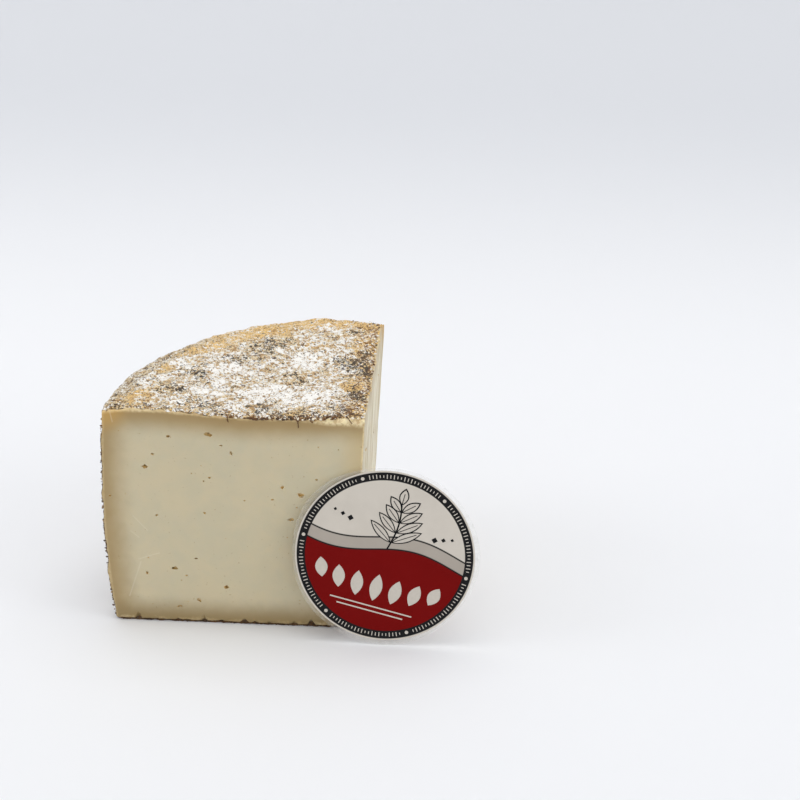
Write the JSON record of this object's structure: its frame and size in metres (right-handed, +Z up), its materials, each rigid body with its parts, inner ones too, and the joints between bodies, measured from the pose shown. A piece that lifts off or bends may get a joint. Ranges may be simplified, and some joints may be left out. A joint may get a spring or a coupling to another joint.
{
  "type": "quarter wheel of goat cheese",
  "caption": "Quarter wheel of pressed goat cheese with a mould-ripened rind, pale cut faces with small eyes, and a round paper label leaning on the front cut.",
  "frame": {"origin": "on the flat underside, at the middle of the quarter disc's area", "axes": "+Z up; the front cut faces -Y, the side cut faces +X, and the round wall lies towards -X and +Y"},
  "size_m": [0.1896, 0.1419, 0.1206],
  "materials": {
    "cheese": "pale cream semi-hard paste on the cuts, dry mottled mould rind on the top, the wall and the base",
    "label": "printed glossy paper on a clear hand-cut film, in black, off-white, grey and deep red fields"
  },
  "bodies": {
    "root": {"cheese": "cheese", "label": "label"}
  },
  "joints": []
}
